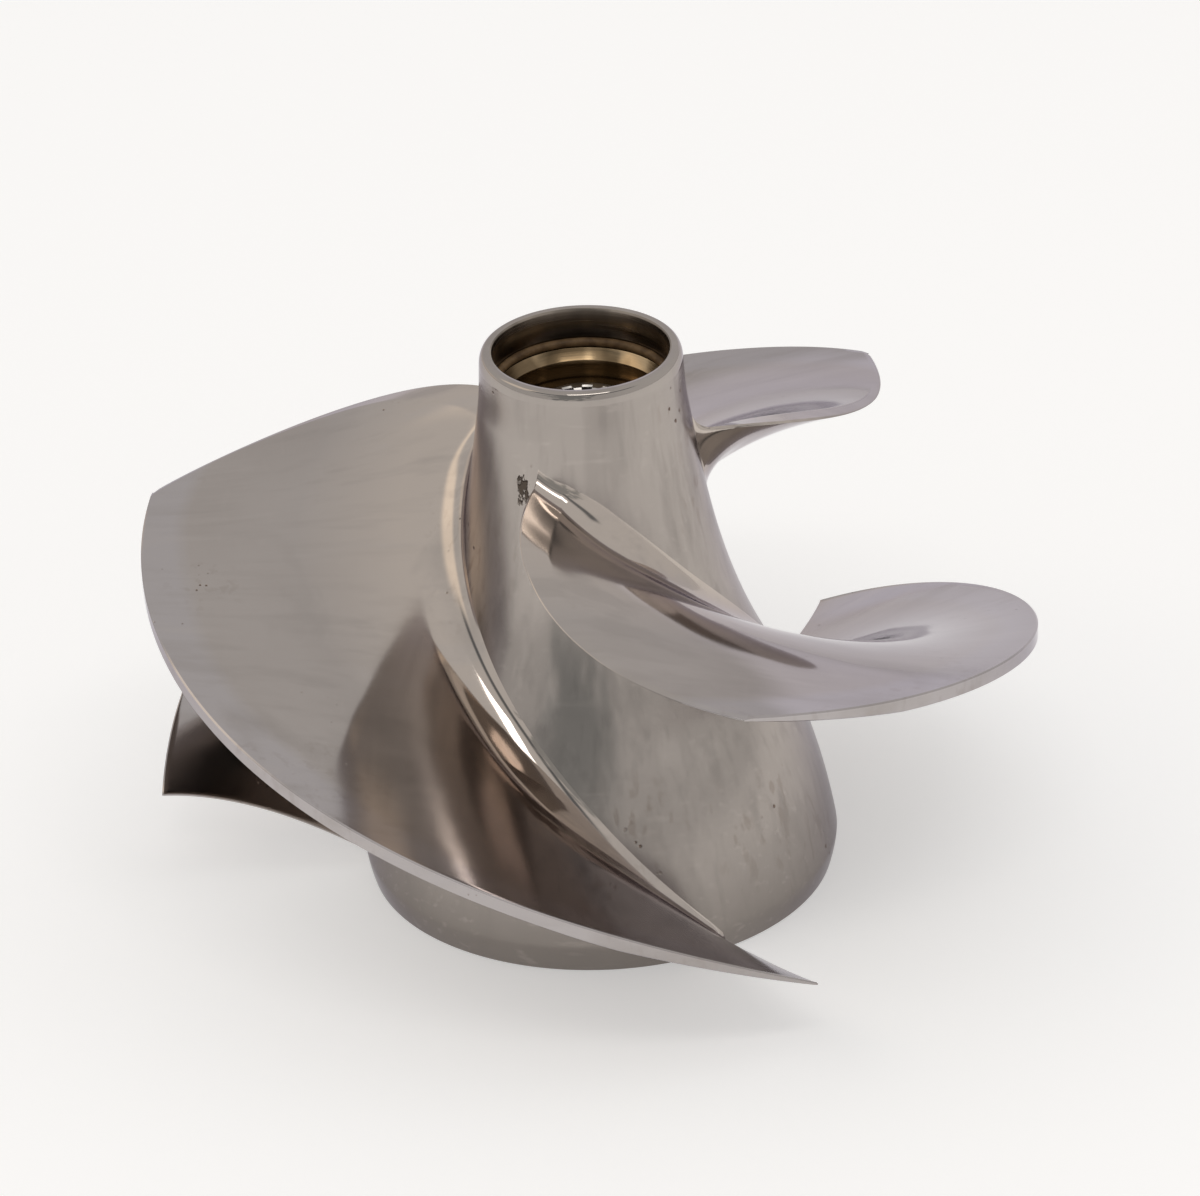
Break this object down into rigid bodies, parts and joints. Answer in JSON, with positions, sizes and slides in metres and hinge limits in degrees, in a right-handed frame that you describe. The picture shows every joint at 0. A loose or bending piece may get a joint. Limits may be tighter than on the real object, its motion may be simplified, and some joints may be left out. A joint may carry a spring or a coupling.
{
  "type": "jet pump impeller",
  "caption": "Marine jet-pump impeller: an ogive hub with long overlapping helical blades, a stepped nose bore with a splined drive sleeve, and a threaded shaft boss in the hollow rear.",
  "frame": {"origin": "on the turning axis, at the mouth of the shaft thread in the hub's rear plane", "axes": "+Z along the turning axis towards the nose; +X to the right and -Y towards the viewer of the stored pose"},
  "size_m": [0.1594, 0.1594, 0.1025],
  "materials": {
    "cast_steel": "polished stainless steel with fine hand-finishing scratches",
    "blade_steel": "polished stainless steel, ground tip edge",
    "machined_steel": "bright machined steel",
    "seat_bronze": "turned, heat-tinted golden brown",
    "brown_rubber": "dark brown nitrile",
    "black_rubber": "black nitrile"
  },
  "bodies": {
    "root": {"hub_shell": "cast_steel", "blade_1": "blade_steel", "blade_2": "blade_steel", "blade_3": "blade_steel", "shaft_boss": "machined_steel", "spline_sleeve": "machined_steel", "seal_seat": "seat_bronze", "nose_ring": "brown_rubber", "shaft_damper": "black_rubber"}
  },
  "joints": []
}
